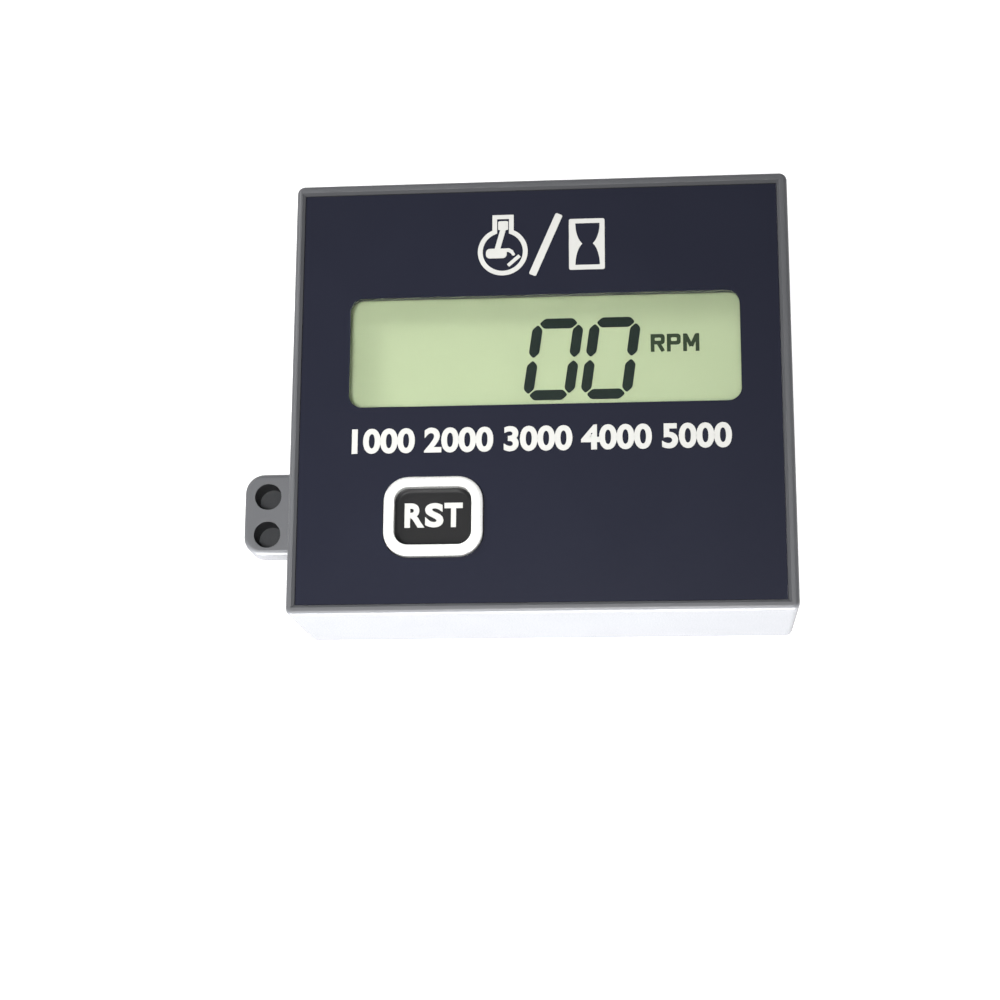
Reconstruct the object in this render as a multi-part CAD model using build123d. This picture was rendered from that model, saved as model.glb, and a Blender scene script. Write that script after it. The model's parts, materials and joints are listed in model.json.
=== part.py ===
from build123d import *
import math
import os

# A small engine tachometer, lying on its back. Sizes are in millimetres.
# +Z is the way the face looks, +Y is up the display and +X is to its right.
# The origin is the centre of the rear face.

# Face: the display window and the margins from it to the sides of the housing
WINDOW_WIDTH = 40.74
WINDOW_HEIGHT = 11.95
WINDOW_CORNER = 1.4
FACE_LEFT = 6.035
FACE_RIGHT = 5.225
FACE_TOP = 12.785
FACE_BOTTOM = 21.965

# Housing walls
SIDE_WALL = 1.8
FRONT_WALL = 1.4
CORNER_RADIUS = 0.8
RIM_FILLET = 0.5
RIM_WIDTH = 1.1
RIM_LEFT = 0.9
RIM_BEVEL = 0.3

# Printed overlay, sunk below the rim
OVERLAY_THICKNESS = 0.3
OVERLAY_SINK = 0.4
OVERLAY_GAP = 0.05
OVERLAY_KEY_GAP = 0.1

# Clear lens, let into the front wall behind the overlay
LENS_THICKNESS = 0.8
LENS_LAP = 1.2
LENS_GAP = 0.1
SILL_SETBACK = 0.3

# Display sandwich
GLASS_THICKNESS = 0.55
POLARISER_THICKNESS = 0.2
REFLECTOR_THICKNESS = 0.25
SEGMENT_THICKNESS = 0.1
GLASS_SIDE_MARGIN = 1.7
GLASS_END_MARGIN = 1.4
CONTACT_LEDGE = 2.0
FILM_INSET = 0.3
BEZEL_LIP = 0.7
BEZEL_WALL = 1.0
BEZEL_GAP = 0.15
SUPPORT_HEIGHT = 3.15
SUPPORT_FLOOR = 1.0
SUPPORT_WALL = 1.6
STRIP_GAP = 0.15
STRIP_INSET = 1.0

# Digits of the display
DIGIT_WIDTH = 5.4
DIGIT_HEIGHT = 8.97
DIGIT_PITCH = 6.04
DIGIT_COUNT = 2
DIGIT_SLANT = 8.0
DIGITS_FROM_RIGHT = 16.2
DIGITS_DROP = 0.19
SEGMENT_WIDTH = 1.1
SEGMENT_GAP = 0.12

# Reset key
KEY_WIDTH = 10.25
KEY_HEIGHT = 8.35
KEY_CORNER = 2.6
KEY_FROM_LEFT = 15.05
KEY_FROM_BOTTOM = 10.15
KEY_GAP = 0.3
KEY_TRAVEL = 0.3
KEY_FLANGE_REACH = 0.8
KEY_FLANGE_THICKNESS = 0.8
KEY_SKIN = 1.1
KEY_SKIRT = 1.3
KEY_DISH = 0.25
DISH_BORDER = 0.5
KEY_STEM_RADIUS = 1.75
RING_WIDTH = 1.15
RING_PROUD = 0.8
RING_SEAT = 0.4
RING_SLOPE = 0.35
COLLAR_WALL = 0.8
COLLAR_SPARE = 0.5

# Push switch under the key
SWITCH_SIZE = 6.0
SWITCH_BASE_HEIGHT = 2.6
SWITCH_FLOOR = 0.6
SWITCH_POCKET_RADIUS = 2.4
SWITCH_COVER_THICKNESS = 0.3
PLUNGER_RADIUS = 1.75
PLUNGER_FLANGE_RADIUS = 2.1
PLUNGER_FLANGE_THICKNESS = 0.85
PLUNGER_NUB_RADIUS = 0.6
PLUNGER_PROUD = 1.1
PLUNGER_GAP = 0.08
DOME_RADIUS = 2.2
DOME_CROWN_RADIUS = 1.5
DOME_HEIGHT = 0.7
DOME_THICKNESS = 0.1
DOME_GAP = 0.05

# Ear with two blind holes
HOLE_RADIUS = 1.4
HOLE_DEPTH = 2.9
HOLE_PITCH = 4.06
HOLES_OUT = 2.8
HOLES_FROM_BOTTOM = 11.3
EAR_MARGIN = 1.1
EAR_LOWER_MARGIN = 0.75
EAR_THICKNESS = 3.4
EAR_DROP = 3.5
EAR_CORNER = 2.0
EAR_EDGE = 0.35

# Circuit board
BOARD_THICKNESS = 1.2
BOARD_SIDE_GAP = 1.2
BOARD_END_GAP = 0.4
BOARD_NOTCH_GAP = 0.3
POST_SIZE = 3.8
POST_FROM_SIDE = 8.0
POST_EDGE = 3.6

# Coin cell and its holder
CELL_RADIUS = 10.0
CELL_HEIGHT = 3.2
CELL_CAP_RADIUS = 8.8
CELL_CAP_HEIGHT = 0.5
CELL_SIDE_GAP = 0.2
CELL_FROM_RIGHT = 13.5
CELL_DROP = 1.5
HOLDER_WALL = 1.2
HOLDER_FLOOR = 0.6
HOLDER_GRIP = 2.4
HOLDER_MOUTH = 9.0
CONTACT_THICKNESS = 0.2
CONTACT_WIDTH = 4.0
CLIP_THICKNESS = 0.25
CLIP_GAP = 0.2
CELL_TO_COVER = 0.8

# Parts soldered to the board
CHIP_SIZE = 7.0
CHIP_HEIGHT = 1.4
CHIP_STANDOFF = 0.1
CHIP_LEADS_PER_SIDE = 8
CHIP_LEAD_PITCH = 0.8
CHIP_FROM_LEFT = 10.5
CHIP_RISE = 7.0
LEAD_WIDTH = 0.3
LEAD_THICKNESS = 0.15
LEAD_REACH = 1.0
LEAD_KNEE = 0.35
LEAD_RISE = 0.6
SWITCH_LEAD_WIDTH = 0.7
SWITCH_LEAD_SPREAD = 4.5
CRYSTAL_LENGTH = 5.0
CRYSTAL_WIDTH = 3.2
CRYSTAL_HEIGHT = 1.1
CRYSTAL_BASE = 0.4
CRYSTAL_STEP = 0.2
CRYSTAL_DROP = 8.0
CHIP_PART_LENGTH = 1.6
CHIP_PART_WIDTH = 0.8
CAPACITOR_HEIGHT = 0.8
RESISTOR_HEIGHT = 0.45
SMALL_PART_COUNT = 6
SMALL_PART_STEP = 2.0
SMALL_PART_GAP = 1.0
SOCKET_LENGTH = 5.0
SOCKET_WIDTH = 6.0
SOCKET_HEIGHT = 4.0
SOCKET_WALL = 0.8
SOCKET_FROM_LEFT = 1.0
PIN_SIZE = 0.5
PIN_PITCH = 2.0
PIN_LENGTH = 3.2

# Rear cover, its gasket and its screws
COVER_THICKNESS = 1.6
COVER_GAP = 0.15
LIP_WALL = 1.0
GASKET_THICKNESS = 0.5
GASKET_GAP = 0.1
SPIGOT_WIDTH = 1.0
SPIGOT_HEIGHT = 1.2
SPIGOT_GAP = 0.2
BOSS_SIZE = 4.2
BOSS_INSET = 2.0
SCREW_RADIUS = 0.85
SCREW_PLAY = 0.02
SCREW_HOLE_RADIUS = 1.15
HEAD_RADIUS = 2.0
HEAD_CONE = 0.9
HEAD_RECESS = 0.1
HEAD_PLAY = 0.05
COVER_SCREW_LENGTH = 8.0
BOARD_SCREW_LENGTH = 5.0
BOARD_HEAD_RADIUS = 1.7
BOARD_HEAD_HEIGHT = 1.1
PILOT_SPARE = 0.7

# Grommet where the signal lead goes in
LEAD_BORE_RADIUS = 1.0
GROMMET_NECK_RADIUS = 2.3
GROMMET_FLANGE_RADIUS = 3.0
GROMMET_OUTSIDE = 1.1
GROMMET_INSIDE = 0.8
GROMMET_TO_EAR = 0.3

# Heights of the layers, from the rear face up
BOARD_BACK = COVER_THICKNESS + CELL_TO_COVER + CELL_HEIGHT + CONTACT_THICKNESS + HOLDER_FLOOR
BOARD_TOP = BOARD_BACK + BOARD_THICKNESS
REFLECTOR_BACK = BOARD_TOP + SUPPORT_HEIGHT
REAR_GLASS_BACK = REFLECTOR_BACK + REFLECTOR_THICKNESS
SEGMENTS_BACK = REAR_GLASS_BACK + GLASS_THICKNESS
FRONT_GLASS_BACK = SEGMENTS_BACK + SEGMENT_THICKNESS
FRONT_GLASS_TOP = FRONT_GLASS_BACK + GLASS_THICKNESS
FRONT_INSIDE = FRONT_GLASS_TOP + BEZEL_LIP
POCKET_FLOOR = FRONT_INSIDE + FRONT_WALL
OVERLAY_TOP = POCKET_FLOOR + OVERLAY_THICKNESS
BODY_DEPTH = OVERLAY_TOP + OVERLAY_SINK
LEDGE_HEIGHT = COVER_THICKNESS + GASKET_THICKNESS

# Outlines and centres that follow from the sizes above
BODY_WIDTH = FACE_LEFT + WINDOW_WIDTH + FACE_RIGHT
BODY_HEIGHT = FACE_TOP + WINDOW_HEIGHT + FACE_BOTTOM
CAVITY_WIDTH = BODY_WIDTH - 2 * SIDE_WALL
CAVITY_HEIGHT = BODY_HEIGHT - 2 * SIDE_WALL
POCKET_WIDTH = BODY_WIDTH - RIM_LEFT - RIM_WIDTH
POCKET_HEIGHT = BODY_HEIGHT - 2 * RIM_WIDTH
POCKET_AT = ((RIM_LEFT - RIM_WIDTH) / 2, 0.0)
WINDOW_AT = ((FACE_LEFT - FACE_RIGHT) / 2, (FACE_BOTTOM - FACE_TOP) / 2)
KEY_AT = (KEY_FROM_LEFT - BODY_WIDTH / 2, KEY_FROM_BOTTOM - BODY_HEIGHT / 2)
HOLES_Y = HOLES_FROM_BOTTOM - BODY_HEIGHT / 2
EAR_TOP = BODY_DEPTH - EAR_DROP
HOLES_X = -BODY_WIDTH / 2 - HOLES_OUT
GROMMET_HEIGHT = EAR_TOP - EAR_THICKNESS - GROMMET_TO_EAR - GROMMET_FLANGE_RADIUS
REAR_GLASS_WIDTH = WINDOW_WIDTH + 2 * GLASS_SIDE_MARGIN
REAR_GLASS_HEIGHT = WINDOW_HEIGHT + 2 * GLASS_END_MARGIN
FRONT_GLASS_HEIGHT = REAR_GLASS_HEIGHT + 2 * CONTACT_LEDGE
BEZEL_POCKET_WIDTH = REAR_GLASS_WIDTH + 2 * BEZEL_GAP
BEZEL_POCKET_HEIGHT = FRONT_GLASS_HEIGHT + 2 * BEZEL_GAP
BEZEL_WIDTH = BEZEL_POCKET_WIDTH + 2 * BEZEL_WALL
BEZEL_HEIGHT = BEZEL_POCKET_HEIGHT + 2 * BEZEL_WALL
BOARD_WIDTH = CAVITY_WIDTH - 2 * BOARD_SIDE_GAP
BOARD_HEIGHT = CAVITY_HEIGHT - 2 * BOARD_END_GAP
KEY_FLANGE_WIDTH = KEY_WIDTH + 2 * KEY_FLANGE_REACH
KEY_FLANGE_HEIGHT = KEY_HEIGHT + 2 * KEY_FLANGE_REACH
CELL_AT = (BOARD_WIDTH / 2 - CELL_FROM_RIGHT, -CELL_DROP)
CELL_BOTTOM = COVER_THICKNESS + CELL_TO_COVER
CHIP_AT = (CHIP_FROM_LEFT - BOARD_WIDTH / 2, CHIP_RISE)
CHIP_LEAD_TIP = CHIP_SIZE / 2 + LEAD_REACH
CAPACITORS_OUT = CHIP_LEAD_TIP + SMALL_PART_GAP + CHIP_PART_WIDTH / 2
RESISTORS_OUT = CHIP_LEAD_TIP + SMALL_PART_GAP + CHIP_PART_LENGTH / 2
SOCKET_X = SOCKET_FROM_LEFT - BOARD_WIDTH / 2 + SOCKET_LENGTH / 2
SWITCH_TOP = BOARD_TOP + SWITCH_BASE_HEIGHT + SWITCH_COVER_THICKNESS
DOME_FLOOR = BOARD_TOP + SWITCH_FLOOR
BOSS_SPOTS = [
    (side * (CAVITY_WIDTH / 2 - BOSS_INSET), end * (CAVITY_HEIGHT / 2 - BOSS_INSET))
    for end in (1, -1)
    for side in (-1, 1)
]
UPPER_POST_Y = (WINDOW_AT[1] + BEZEL_HEIGHT / 2 + CAVITY_HEIGHT / 2) / 2
LOWER_POST_X = (KEY_AT[0] + KEY_FLANGE_WIDTH / 2 + CAVITY_WIDTH / 2) / 2
POST_SPOTS = [
    (POST_FROM_SIDE - BOARD_WIDTH / 2, UPPER_POST_Y),
    (LOWER_POST_X, POST_EDGE - CAVITY_HEIGHT / 2),
]


def slab(width, height, bottom, top, corner=0.0, at=(0.0, 0.0)):
    """A flat plate between two heights, with rounded upright corners."""
    outline = RectangleRounded(width, height, corner) if corner else Rectangle(width, height)
    return extrude(Pos(*at, bottom) * outline, top - bottom)


def disc(radius, bottom, top, at=(0.0, 0.0)):
    """A round plate or post between two heights."""
    return extrude(Pos(*at, bottom) * Circle(radius), top - bottom)


def turned(outline, at=(0.0, 0.0, 0.0)):
    """A solid turned about its own Z axis from (radius, height) points."""
    section = make_face(Polyline(*[(radius, 0, height) for radius, height in outline], close=True))
    return Pos(*at) * revolve(section, Axis.Z)


def eased(solid, size, level=-1):
    """The solid with a small chamfer around its top face, or its bottom face for level 0."""
    return chamfer(solid.faces().sort_by(Axis.Z)[level].edges(), size)


def on_front(x, y):
    """The board's front surface, with local Z away from it."""
    return Pos(x, y, BOARD_TOP)


def on_back(x, y):
    """The board's rear surface, with local Z away from it."""
    return Pos(x, y, BOARD_BACK) * Rot(180, 0, 0)


def ear():
    """The flat ear on the left side, with its two blind holes."""
    reach = HOLES_OUT + HOLE_RADIUS + EAR_MARGIN
    height = HOLE_PITCH + 2 * HOLE_RADIUS + EAR_MARGIN + EAR_LOWER_MARGIN
    rooted = reach + EAR_CORNER + SIDE_WALL
    middle = (-BODY_WIDTH / 2 - reach + rooted / 2, HOLES_Y + (EAR_MARGIN - EAR_LOWER_MARGIN) / 2)
    plate = slab(rooted, height, EAR_TOP - EAR_THICKNESS, EAR_TOP, EAR_CORNER, middle)
    plate = eased(eased(plate, EAR_EDGE), EAR_EDGE, 0)
    for end in (1, -1):
        spot = (HOLES_X, HOLES_Y + end * HOLE_PITCH / 2)
        plate -= disc(HOLE_RADIUS, EAR_TOP - HOLE_DEPTH, EAR_TOP, spot)
    return plate


def at_corners(size, bottom, top):
    """Square blocks that fill the four corners of the cavity."""
    x = (CAVITY_WIDTH - size) / 2
    y = (CAVITY_HEIGHT - size) / 2
    return [slab(size, size, bottom, top, 0, (side * x, end * y)) for end in (1, -1) for side in (-1, 1)]


def front_case():
    """The one-piece moulded housing: rim, face, side walls, ear and everything that grows inside."""
    case = slab(BODY_WIDTH, BODY_HEIGHT, 0, BODY_DEPTH, CORNER_RADIUS)
    case = fillet(case.faces().sort_by(Axis.Z)[-1].edges(), RIM_FILLET)
    case += ear()

    case -= slab(POCKET_WIDTH, POCKET_HEIGHT, POCKET_FLOOR, BODY_DEPTH, 0, POCKET_AT)
    case = chamfer(case.faces().sort_by(Axis.Z)[-1].inner_wires()[0].edges(), RIM_BEVEL)

    lip = (BODY_WIDTH - 2 * LIP_WALL, BODY_HEIGHT - 2 * LIP_WALL)
    case -= slab(*lip, 0, LEDGE_HEIGHT)
    case -= slab(CAVITY_WIDTH, CAVITY_HEIGHT, 0, FRONT_INSIDE)
    case += at_corners(BOSS_SIZE, COVER_THICKNESS, FRONT_INSIDE)
    case += [slab(POST_SIZE, POST_SIZE, BOARD_TOP, FRONT_INSIDE, 0, spot) for spot in POST_SPOTS]
    case += key_collar()

    sill = (WINDOW_WIDTH + 2 * SILL_SETBACK, WINDOW_HEIGHT + 2 * SILL_SETBACK)
    case -= slab(*sill, FRONT_INSIDE, POCKET_FLOOR, WINDOW_CORNER, WINDOW_AT)
    seat = (WINDOW_WIDTH + 2 * (LENS_LAP + LENS_GAP), WINDOW_HEIGHT + 2 * (LENS_LAP + LENS_GAP))
    case -= slab(*seat, POCKET_FLOOR - LENS_THICKNESS, POCKET_FLOOR, 0, WINDOW_AT)
    hole = (KEY_WIDTH + 2 * KEY_GAP, KEY_HEIGHT + 2 * KEY_GAP)
    case -= slab(*hole, FRONT_INSIDE, POCKET_FLOOR, KEY_CORNER + KEY_GAP, KEY_AT)

    cover_pilot = COVER_SCREW_LENGTH + HEAD_RECESS + PILOT_SPARE
    case -= [disc(SCREW_RADIUS, COVER_THICKNESS, cover_pilot, spot) for spot in BOSS_SPOTS]
    board_pilot = BOARD_BACK + BOARD_SCREW_LENGTH + PILOT_SPARE
    case -= [disc(SCREW_RADIUS, BOARD_TOP, board_pilot, spot) for spot in POST_SPOTS]
    wall_middle = Pos(-BODY_WIDTH / 2 + SIDE_WALL / 2, HOLES_Y, GROMMET_HEIGHT)
    case -= wall_middle * Rot(0, 90, 0) * Cylinder(GROMMET_NECK_RADIUS, 2 * SIDE_WALL)
    return case


def key_collar():
    """The low wall behind the face that keeps the key square in its hole."""
    inner = (KEY_FLANGE_WIDTH + 2 * KEY_GAP, KEY_FLANGE_HEIGHT + 2 * KEY_GAP)
    outer = (inner[0] + 2 * COLLAR_WALL, inner[1] + 2 * COLLAR_WALL)
    bottom = FRONT_INSIDE - KEY_FLANGE_THICKNESS - KEY_TRAVEL - COLLAR_SPARE
    wall = slab(*outer, bottom, FRONT_INSIDE, 0, KEY_AT)
    return wall - slab(*inner, bottom, FRONT_INSIDE, 0, KEY_AT)


def face_overlay():
    """The printed film that covers the face, cut out for the window and the key."""
    width = POCKET_WIDTH - 2 * OVERLAY_GAP
    height = POCKET_HEIGHT - 2 * OVERLAY_GAP
    film = slab(width, height, POCKET_FLOOR, OVERLAY_TOP, 0, POCKET_AT)
    film -= slab(WINDOW_WIDTH, WINDOW_HEIGHT, POCKET_FLOOR, OVERLAY_TOP, WINDOW_CORNER, WINDOW_AT)
    hole = (KEY_WIDTH + 2 * OVERLAY_KEY_GAP, KEY_HEIGHT + 2 * OVERLAY_KEY_GAP)
    return film - slab(*hole, POCKET_FLOOR, OVERLAY_TOP, KEY_CORNER + OVERLAY_KEY_GAP, KEY_AT)


def window_lens():
    """The clear plate in the front wall, its edges held under the overlay."""
    width = WINDOW_WIDTH + 2 * LENS_LAP
    height = WINDOW_HEIGHT + 2 * LENS_LAP
    return slab(width, height, POCKET_FLOOR - LENS_THICKNESS, POCKET_FLOOR, 0, WINDOW_AT)


def display_glass():
    """The two glasses and the films on them, from the front down."""
    film = (REAR_GLASS_WIDTH - 2 * FILM_INSET, REAR_GLASS_HEIGHT - 2 * FILM_INSET)
    front = (REAR_GLASS_WIDTH, FRONT_GLASS_HEIGHT)
    rear = (REAR_GLASS_WIDTH, REAR_GLASS_HEIGHT)
    polariser_top = FRONT_GLASS_TOP + POLARISER_THICKNESS
    return {
        "display_polariser": slab(*film, FRONT_GLASS_TOP, polariser_top, 0, WINDOW_AT),
        "display_front_glass": slab(*front, FRONT_GLASS_BACK, FRONT_GLASS_TOP, 0, WINDOW_AT),
        "display_rear_glass": slab(*rear, REAR_GLASS_BACK, SEGMENTS_BACK, 0, WINDOW_AT),
        "display_reflector": slab(*film, REFLECTOR_BACK, REAR_GLASS_BACK, 0, WINDOW_AT),
    }


def segment(length, upright, middle, digit_at):
    """One bar of a digit, pointed at both ends, leaning with the digit."""
    tip = length / 2
    half = SEGMENT_WIDTH / 2
    shoulder = tip - half
    bar = [(-tip, 0), (-shoulder, half), (shoulder, half), (tip, 0), (shoulder, -half), (-shoulder, -half)]
    lean = math.tan(math.radians(DIGIT_SLANT))
    points = []
    for along, across in bar:
        x, y = (across, along) if upright else (along, across)
        x += middle[0]
        y += middle[1]
        points.append((digit_at[0] + x + y * lean, digit_at[1] + y))
    face = make_face(Polyline(*points, close=True))
    return extrude(Pos(0, 0, SEGMENTS_BACK) * face, SEGMENT_THICKNESS)


def display_digits():
    """Every digit shows a nought: two bars across and four upright."""
    column = (DIGIT_WIDTH - SEGMENT_WIDTH) / 2
    row = (DIGIT_HEIGHT - SEGMENT_WIDTH) / 2
    across = 2 * (column - SEGMENT_GAP)
    upright = row - 2 * SEGMENT_GAP
    last_x = WINDOW_AT[0] + WINDOW_WIDTH / 2 - DIGITS_FROM_RIGHT + DIGIT_WIDTH / 2
    bars = []
    for n in range(DIGIT_COUNT):
        spot = (last_x - n * DIGIT_PITCH, WINDOW_AT[1] - DIGITS_DROP)
        for end in (1, -1):
            bars.append(segment(across, False, (0, end * row), spot))
            bars += [segment(upright, True, (side * column, end * row / 2), spot) for side in (1, -1)]
    return Compound(bars)


def display_bezel():
    """The frame that holds the display square against the face."""
    frame = slab(BEZEL_WIDTH, BEZEL_HEIGHT, BOARD_TOP, FRONT_INSIDE, 0, WINDOW_AT)
    frame -= slab(BEZEL_POCKET_WIDTH, BEZEL_POCKET_HEIGHT, BOARD_TOP, FRONT_GLASS_TOP, 0, WINDOW_AT)
    opening = (REAR_GLASS_WIDTH - FILM_INSET, REAR_GLASS_HEIGHT - FILM_INSET)
    return frame - slab(*opening, FRONT_GLASS_TOP, FRONT_INSIDE, 0, WINDOW_AT)


def display_support():
    """The spacer between board and display, hollow towards the board."""
    rest = slab(REAR_GLASS_WIDTH, REAR_GLASS_HEIGHT, BOARD_TOP, REFLECTOR_BACK, 0, WINDOW_AT)
    hollow = (REAR_GLASS_WIDTH - 2 * SUPPORT_WALL, REAR_GLASS_HEIGHT - 2 * SUPPORT_WALL)
    return rest - slab(*hollow, BOARD_TOP, REFLECTOR_BACK - SUPPORT_FLOOR, 0, WINDOW_AT)


def contact_strip(end):
    """The striped rubber strip that joins the display's contacts to the board's."""
    room = CONTACT_LEDGE + BEZEL_GAP
    middle = WINDOW_AT[1] + end * (REAR_GLASS_HEIGHT / 2 + room / 2)
    length = REAR_GLASS_WIDTH - 2 * STRIP_INSET
    width = room - 2 * STRIP_GAP
    return slab(length, width, BOARD_TOP, FRONT_GLASS_BACK, 0, (WINDOW_AT[0], middle))


def reset_key():
    """The moulded key: flange behind the face, dished top inside the ring, stem on the switch."""
    flange_bottom = FRONT_INSIDE - KEY_FLANGE_THICKNESS
    ring_bottom = OVERLAY_TOP - RING_SEAT
    key = slab(KEY_FLANGE_WIDTH, KEY_FLANGE_HEIGHT, flange_bottom, FRONT_INSIDE, 0, KEY_AT)
    key += slab(KEY_WIDTH, KEY_HEIGHT, FRONT_INSIDE, ring_bottom, KEY_CORNER, KEY_AT)
    inner = (KEY_WIDTH - 2 * RING_WIDTH, KEY_HEIGHT - 2 * RING_WIDTH)
    key += slab(*inner, ring_bottom, OVERLAY_TOP, KEY_CORNER - RING_WIDTH, KEY_AT)
    dish = (inner[0] - 2 * DISH_BORDER, inner[1] - 2 * DISH_BORDER)
    dish_floor = RectangleRounded(*dish, KEY_CORNER - RING_WIDTH - DISH_BORDER)
    slope = math.degrees(math.atan2(DISH_BORDER, KEY_DISH))
    key -= extrude(Pos(*KEY_AT, OVERLAY_TOP - KEY_DISH) * dish_floor, KEY_DISH, taper=-slope)
    hollow = (KEY_WIDTH - 2 * KEY_SKIRT, KEY_HEIGHT - 2 * KEY_SKIRT)
    ceiling = OVERLAY_TOP - KEY_DISH - KEY_SKIN
    key -= slab(*hollow, flange_bottom, ceiling, 0, KEY_AT)
    return key + disc(KEY_STEM_RADIUS, SWITCH_TOP + PLUNGER_PROUD, ceiling, KEY_AT)


def reset_key_ring():
    """The raised ring around the key's top, sloped on its outer shoulder."""
    bottom = OVERLAY_TOP - RING_SEAT
    top = OVERLAY_TOP + RING_PROUD
    ring = eased(slab(KEY_WIDTH, KEY_HEIGHT, bottom, top, KEY_CORNER, KEY_AT), RING_SLOPE)
    inner = (KEY_WIDTH - 2 * RING_WIDTH, KEY_HEIGHT - 2 * RING_WIDTH)
    return ring - slab(*inner, bottom, top, KEY_CORNER - RING_WIDTH, KEY_AT)


def switch_base():
    """The moulded cup of the push switch."""
    top = BOARD_TOP + SWITCH_BASE_HEIGHT
    cup = slab(SWITCH_SIZE, SWITCH_SIZE, BOARD_TOP, top, 0, KEY_AT)
    return cup - disc(SWITCH_POCKET_RADIUS, DOME_FLOOR, top, KEY_AT)


def switch_cover():
    """The metal plate that closes the switch around its plunger."""
    bottom = BOARD_TOP + SWITCH_BASE_HEIGHT
    plate = slab(SWITCH_SIZE, SWITCH_SIZE, bottom, SWITCH_TOP, 0, KEY_AT)
    return plate - disc(PLUNGER_RADIUS + PLUNGER_GAP, bottom, SWITCH_TOP, KEY_AT)


def switch_dome():
    """The sprung metal dome that snaps under the plunger."""
    under = DOME_HEIGHT - DOME_THICKNESS
    outline = [(0, under), (0, DOME_HEIGHT), (DOME_CROWN_RADIUS, DOME_HEIGHT), (DOME_RADIUS, DOME_THICKNESS)]
    outline += [(DOME_RADIUS, 0), (DOME_CROWN_RADIUS, under)]
    return turned(outline, (*KEY_AT, DOME_FLOOR))


def switch_plunger():
    """The switch's own button, with its flange under the cover and a nub on the dome."""
    flange_top = BOARD_TOP + SWITCH_BASE_HEIGHT
    flange_bottom = flange_top - PLUNGER_FLANGE_THICKNESS
    button = disc(PLUNGER_RADIUS, flange_bottom, SWITCH_TOP + PLUNGER_PROUD, KEY_AT)
    button += disc(PLUNGER_FLANGE_RADIUS, flange_bottom, flange_top, KEY_AT)
    return button + disc(PLUNGER_NUB_RADIUS, DOME_FLOOR + DOME_HEIGHT + DOME_GAP, flange_bottom, KEY_AT)


def flat_lead(width):
    """A flat lead that leaves a part along +X, steps down and lies on the board."""
    knee = LEAD_KNEE + LEAD_THICKNESS
    rise = LEAD_RISE + LEAD_THICKNESS
    points = [(0, LEAD_RISE), (0, rise), (knee, rise), (knee, LEAD_THICKNESS), (LEAD_REACH, LEAD_THICKNESS)]
    points += [(LEAD_REACH, 0), (LEAD_KNEE, 0), (LEAD_KNEE, LEAD_RISE)]
    face = make_face(Polyline(*[(x, 0, z) for x, z in points], close=True))
    return extrude(face, width / 2, both=True)


def switch_leads():
    """The push switch's four leads on the board."""
    leads = []
    for turn in (0, 180):
        for side in (1, -1):
            spot = Rot(0, 0, turn) * Pos(SWITCH_SIZE / 2, side * SWITCH_LEAD_SPREAD / 2, 0)
            leads.append(on_front(*KEY_AT) * spot * flat_lead(SWITCH_LEAD_WIDTH))
    return Compound(leads)


def microcontroller():
    """The moulded body of the control chip, on the back of the board."""
    body = slab(CHIP_SIZE, CHIP_SIZE, CHIP_STANDOFF, CHIP_STANDOFF + CHIP_HEIGHT)
    return on_back(*CHIP_AT) * eased(eased(body, LEAD_THICKNESS), LEAD_THICKNESS, 0)


def microcontroller_leads():
    """The control chip's rows of leads, one row a side."""
    row_start = -(CHIP_LEADS_PER_SIDE - 1) / 2 * CHIP_LEAD_PITCH
    leads = []
    for turn in (0, 90, 180, 270):
        for n in range(CHIP_LEADS_PER_SIDE):
            spot = Rot(0, 0, turn) * Pos(CHIP_SIZE / 2, row_start + n * CHIP_LEAD_PITCH, 0)
            leads.append(on_back(*CHIP_AT) * spot * flat_lead(LEAD_WIDTH))
    return Compound(leads)


def clock_crystal():
    """The clock crystal's flat metal can on its base plate, below the chip."""
    can = slab(CRYSTAL_LENGTH, CRYSTAL_WIDTH, 0, CRYSTAL_BASE)
    lid = (CRYSTAL_LENGTH - 2 * CRYSTAL_STEP, CRYSTAL_WIDTH - 2 * CRYSTAL_STEP)
    can += eased(slab(*lid, CRYSTAL_BASE, CRYSTAL_HEIGHT), CRYSTAL_STEP)
    return on_back(CHIP_AT[0], CHIP_AT[1] - CRYSTAL_DROP) * can


def small_parts(out, step, height):
    """A line of chip parts past one side of the control chip, spaced by a step in x and y."""
    parts = []
    for n in range(SMALL_PART_COUNT):
        along = n - (SMALL_PART_COUNT - 1) / 2
        spot = on_back(CHIP_AT[0] + out[0] + along * step[0], CHIP_AT[1] + out[1] + along * step[1])
        parts.append(spot * slab(CHIP_PART_LENGTH, CHIP_PART_WIDTH, 0, height))
    return Compound(parts)


def signal_socket():
    """The two-way socket for the signal lead, open towards the grommet."""
    block = slab(SOCKET_LENGTH, SOCKET_WIDTH, 0, SOCKET_HEIGHT)
    mouth = slab(SOCKET_LENGTH, SOCKET_WIDTH - 2 * SOCKET_WALL, SOCKET_WALL, SOCKET_HEIGHT - SOCKET_WALL)
    return on_back(SOCKET_X, HOLES_Y) * (block - Pos(-SOCKET_WALL, 0, 0) * mouth)


def signal_pins():
    """The socket's two square pins, standing out of its back wall."""
    start = SOCKET_LENGTH / 2 - SOCKET_WALL
    middle = Pos(start - PIN_LENGTH / 2, 0, SOCKET_HEIGHT / 2)
    pins = [middle * Pos(0, side * PIN_PITCH / 2, 0) * Box(PIN_LENGTH, PIN_SIZE, PIN_SIZE) for side in (1, -1)]
    return Compound([on_back(SOCKET_X, HOLES_Y) * pin for pin in pins])


def circuit_board():
    """The board, notched at its corners around the blocks that take the cover's screws."""
    board = slab(BOARD_WIDTH, BOARD_HEIGHT, BOARD_BACK, BOARD_TOP)
    board -= at_corners(BOSS_SIZE + BOARD_NOTCH_GAP, BOARD_BACK, BOARD_TOP)
    return board - [disc(SCREW_HOLE_RADIUS, BOARD_BACK, BOARD_TOP, spot) for spot in POST_SPOTS]


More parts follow.
